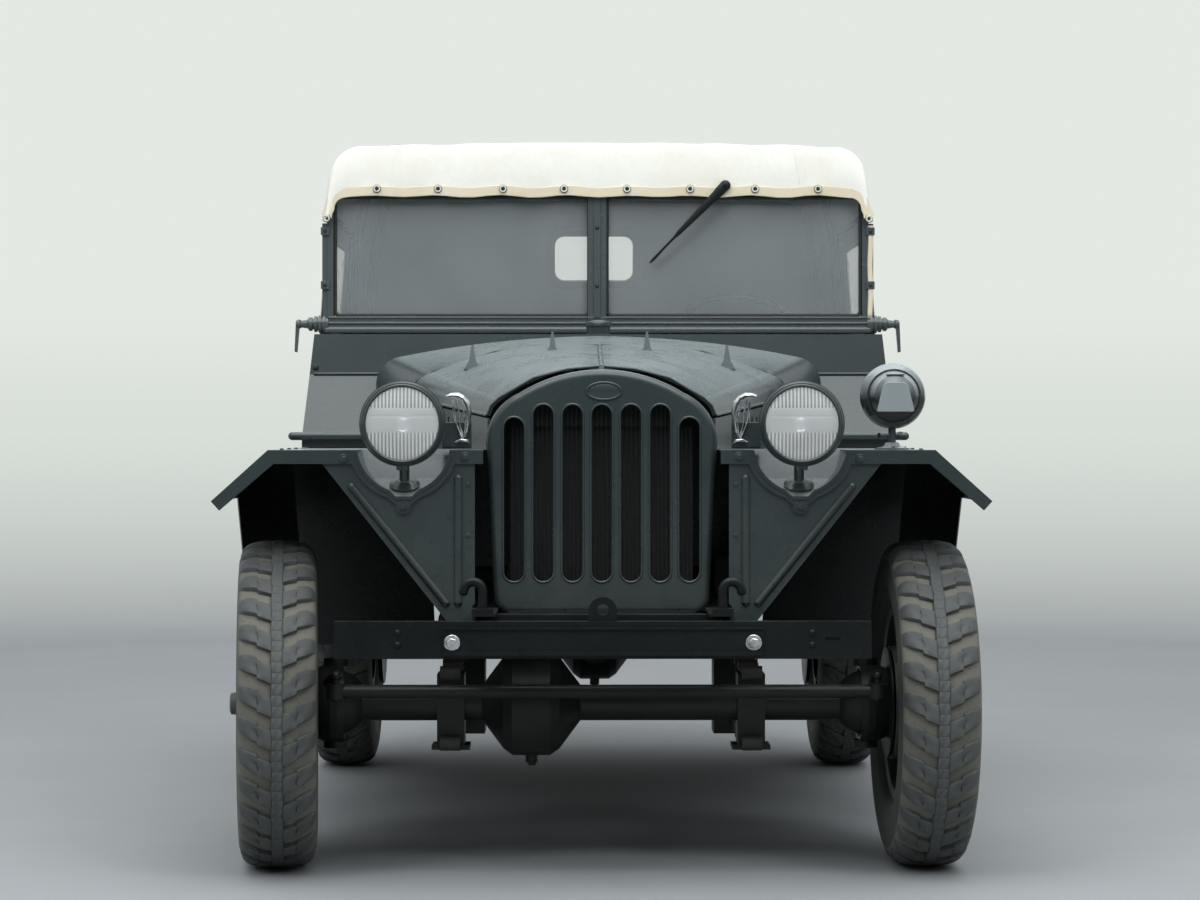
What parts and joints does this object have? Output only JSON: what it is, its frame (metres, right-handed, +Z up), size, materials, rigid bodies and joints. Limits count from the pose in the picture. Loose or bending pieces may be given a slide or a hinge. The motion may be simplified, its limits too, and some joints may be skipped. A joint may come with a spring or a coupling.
{
  "type": "army 4x4 field car",
  "caption": "Open military field car with a vertically slotted grille, round headlamps, folded sheet-metal wings, a cream canvas top and canvas doors, standing on bar-tread tyres.",
  "frame": {"origin": "on the floor, on the centre plane, at the middle of the overall length", "axes": "+Z up, -Y towards the front of the car, +X towards its left side"},
  "size_m": [1.69, 3.35, 1.703],
  "materials": {
    "body_paint": "semi-gloss dark grey-green",
    "chassis_paint": "satin black",
    "engine_grey": "rough cast",
    "spring_steel": "dark dusty steel",
    "canvas": "cream canvas",
    "canvas_door": "cream canvas over steel tube",
    "clear_sheet": "clear flexible window",
    "window_glass": "flat glass",
    "lens_glass": "ribbed lens glass",
    "seat_leathercloth": "brown-black leathercloth",
    "rubber_tyre": "dusty rubber",
    "wheel_paint": "semi-gloss dark grey-green",
    "black_plastic": "black rim",
    "radiator_core": "matt black with dull tanks",
    "exhaust_steel": "rusty steel"
  },
  "bodies": {
    "chassis": {"body_side_left": "body_paint", "body_side_right": "body_paint", "control_levers": "chassis_paint", "cowl": "body_paint", "dashboard": "body_paint", "exhaust": "exhaust_steel", "floor_pan": "body_paint", "frame": "chassis_paint", "front_axle": "chassis_paint", "front_bumper": "chassis_paint", "front_wing_left": "body_paint", "front_wing_right": "body_paint", "grille": "body_paint", "headlamp_lenses": "lens_glass", "headlamps": "body_paint", "hood_hinge": "body_paint", "hood_sides": "body_paint", "leaf_springs": "spring_steel", "marker_lamp": "body_paint", "powertrain": "engine_grey", "propshafts": "chassis_paint", "radiator": "radiator_core", "rear_axle": "chassis_paint", "rear_bumpers": "chassis_paint", "rear_panel": "body_paint", "rear_window": "clear_sheet", "rear_wings": "body_paint", "running_boards": "body_paint", "seat_cushions": "seat_leathercloth", "seat_frames": "body_paint", "soft_top": "canvas", "spare_carrier": "chassis_paint", "spare_rim": "wheel_paint", "spare_tyre": "rubber_tyre", "steering_column": "chassis_paint", "tail_lamp": "body_paint", "top_bows": "chassis_paint", "tow_hooks": "chassis_paint", "wheelhouses": "body_paint", "windscreen_frame": "body_paint", "windscreen_glass": "window_glass", "wing_aprons": "body_paint"},
    "hood_lid_left": {"hood_left": "body_paint"},
    "hood_lid_right": {"hood_right": "body_paint"},
    "door_left_side": {"door_left": "canvas_door", "door_window_left": "clear_sheet"},
    "door_right_side": {"door_right": "canvas_door", "door_window_right": "clear_sheet"},
    "knuckle_left_side": {"knuckle_left": "chassis_paint"},
    "knuckle_right_side": {"knuckle_right": "chassis_paint"},
    "track_rod": {"tie_rod": "chassis_paint"},
    "steering_hand_wheel": {"steering_wheel": "black_plastic"},
    "wheel_front_left": {"tyre_front_left": "rubber_tyre", "rim_front_left": "wheel_paint"},
    "wheel_front_right": {"tyre_front_right": "rubber_tyre", "rim_front_right": "wheel_paint"},
    "wheel_rear_left": {"tyre_rear_left": "rubber_tyre", "rim_rear_left": "wheel_paint"},
    "wheel_rear_right": {"tyre_rear_right": "rubber_tyre", "rim_rear_right": "wheel_paint"}
  },
  "joints": [
    {"name": "hood_left_lift", "type": "hinge", "parent": "chassis", "child": "hood_lid_left", "pos_m": [0, -1.329, 1.118], "axis": [0, -0.9944, -0.1061], "range_deg": [0, 60]},
    {"name": "hood_right_lift", "type": "hinge", "parent": "chassis", "child": "hood_lid_right", "pos_m": [0, -1.329, 1.118], "axis": [0, 0.9944, 0.1061], "range_deg": [0, 60]},
    {"name": "door_left_swing", "type": "hinge", "parent": "chassis", "child": "door_left_side", "pos_m": [0.757, -0.262, 0.9], "axis": [0, 0, -1], "range_deg": [0, 70]},
    {"name": "door_right_swing", "type": "hinge", "parent": "chassis", "child": "door_right_side", "pos_m": [-0.757, -0.262, 0.9], "axis": [0, 0, 1], "range_deg": [0, 70]},
    {"name": "steer_left", "type": "hinge", "parent": "chassis", "child": "knuckle_left_side", "pos_m": [0.594, -1.195, 0.365], "axis": [0, 0, 1], "range_deg": [-28, 28]},
    {"name": "steer_right", "type": "hinge", "parent": "chassis", "child": "knuckle_right_side", "pos_m": [-0.594, -1.195, 0.365], "axis": [0, 0, 1], "range_deg": [-28, 28]},
    {"name": "track_rod_end", "type": "hinge", "parent": "knuckle_left_side", "child": "track_rod", "pos_m": [0.606, -1.36, 0.404], "axis": [0, 0, 1], "range_deg": [-28, 28]},
    {"name": "hand_wheel_turn", "type": "hinge", "parent": "chassis", "child": "steering_hand_wheel", "pos_m": [0.36, 0.005, 1.154], "axis": [0, 0.8192, 0.5736], "range_deg": [-420, 420]},
    {"name": "roll_front_left", "type": "hinge", "parent": "knuckle_left_side", "child": "wheel_front_left", "pos_m": [0.594, -1.195, 0.365], "axis": [0.9998, 0.0175, 0], "continuous": true},
    {"name": "roll_front_right", "type": "hinge", "parent": "knuckle_right_side", "child": "wheel_front_right", "pos_m": [-0.594, -1.195, 0.365], "axis": [0.9962, 0.0872, 0], "continuous": true},
    {"name": "roll_rear_left", "type": "hinge", "parent": "chassis", "child": "wheel_rear_left", "pos_m": [0.724, 0.905, 0.365], "axis": [1, 0, 0], "continuous": true},
    {"name": "roll_rear_right", "type": "hinge", "parent": "chassis", "child": "wheel_rear_right", "pos_m": [-0.724, 0.905, 0.365], "axis": [1, 0, 0], "continuous": true}
  ],
  "couplings": [
    {"joint": "steer_right", "follows": "steer_left", "ratio": 1},
    {"joint": "track_rod_end", "follows": "steer_left", "ratio": -1},
    {"joint": "hand_wheel_turn", "follows": "steer_left", "ratio": 15}
  ]
}
